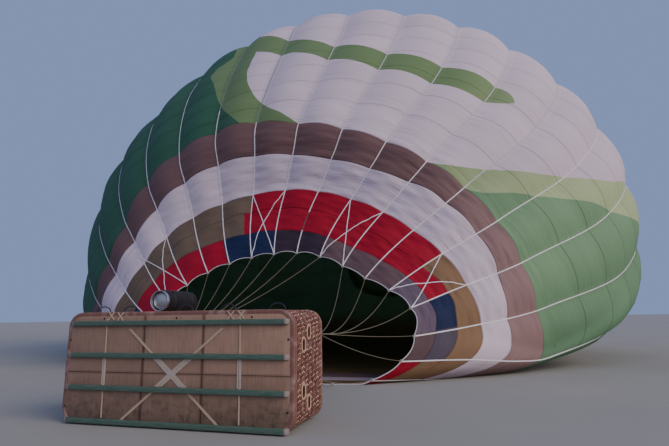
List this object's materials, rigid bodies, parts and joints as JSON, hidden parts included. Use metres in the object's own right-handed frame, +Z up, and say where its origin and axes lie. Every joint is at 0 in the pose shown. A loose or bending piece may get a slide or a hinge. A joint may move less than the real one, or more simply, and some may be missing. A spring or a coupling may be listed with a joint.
{
  "type": "hot air balloon",
  "caption": "Hot air balloon lying filled on the ground: fabric envelope with vent valve, flying wires, gimballed burners in a load frame, and a wicker basket on its side.",
  "frame": {"origin": "on the ground, in the middle of the whole length and width", "axes": "+Y from the basket's floor along the envelope to its crown; +Z up from the ground; +X to the right seen from the basket"},
  "size_m": [22.2308, 26.6, 15.1199],
  "materials": {
    "fabric_navy": "coated balloon fabric",
    "fabric_red": "coated balloon fabric",
    "fabric_white": "coated balloon fabric, greyed",
    "fabric_brown": "coated balloon fabric",
    "fabric_green": "coated balloon fabric",
    "webbing": "woven polyester",
    "wicker": "woven willow and cane",
    "leather": "worn hide",
    "plywood": "weathered, varnish worn",
    "painted_wood": "worn green paint",
    "tank": "satin",
    "jacket": "padded nylon jacket",
    "steel": "stainless, satin",
    "sleeve": "padded leather sleeve",
    "wire": "braided aramid line"
  },
  "bodies": {
    "balloon": {"mouth_row": "fabric_navy", "throat_row": "fabric_red", "white_row": "fabric_white", "brown_row": "fabric_brown", "main_panels": "fabric_green", "crown_panels": "fabric_white", "crown_ring": "webbing", "mouth_hem": "webbing", "basket_trim": "leather", "wicker_end_left": "wicker", "wicker_end_right": "wicker", "wicker_side_upper": "wicker", "wicker_side_lower": "wicker", "basket_rim": "leather", "basket_floor": "plywood", "floor_runner_1": "painted_wood", "floor_runner_2": "painted_wood", "floor_runner_3": "painted_wood", "floor_runner_4": "painted_wood", "cross_partition_left": "wicker", "side_partition_left": "wicker", "cross_partition_right": "wicker", "side_partition_right": "wicker", "fuel_cylinder_1": "tank", "fuel_cylinder_2": "tank", "fuel_cylinder_3": "tank", "fuel_cylinder_4": "tank", "jacketed_cylinder": "jacket", "burner_frame": "steel", "upright_1": "sleeve", "upright_2": "sleeve", "upright_3": "sleeve", "upright_4": "sleeve", "flying_wires_upper_right": "wire", "flying_wires_upper_left": "wire", "flying_wires_lower_left": "wire", "flying_wires_lower_right": "wire"},
    "gimbal": {"gimbal_ring": "steel"},
    "burners": {"burner_cradle": "steel", "burner_block_left": "steel", "burner_coil_left": "steel", "burner_can_left": "steel", "burner_block_right": "steel", "burner_coil_right": "steel", "burner_can_right": "steel"},
    "valve": {"parachute_valve": "fabric_red"}
  },
  "joints": [
    {"name": "gimbal_tilt", "type": "hinge", "parent": "balloon", "child": "gimbal", "pos_m": [1.43, -11.15, 0.8], "axis": [1, 0, 0], "range_deg": [-15, 15]},
    {"name": "burner_tilt", "type": "hinge", "parent": "gimbal", "child": "burners", "pos_m": [1.43, -11.15, 0.8], "axis": [0, 0, 1], "range_deg": [-15, 15]},
    {"name": "valve_slide", "type": "slide", "parent": "balloon", "child": "valve", "axis": [0, -1, 0], "range_m": [0, 1.2]}
  ]
}
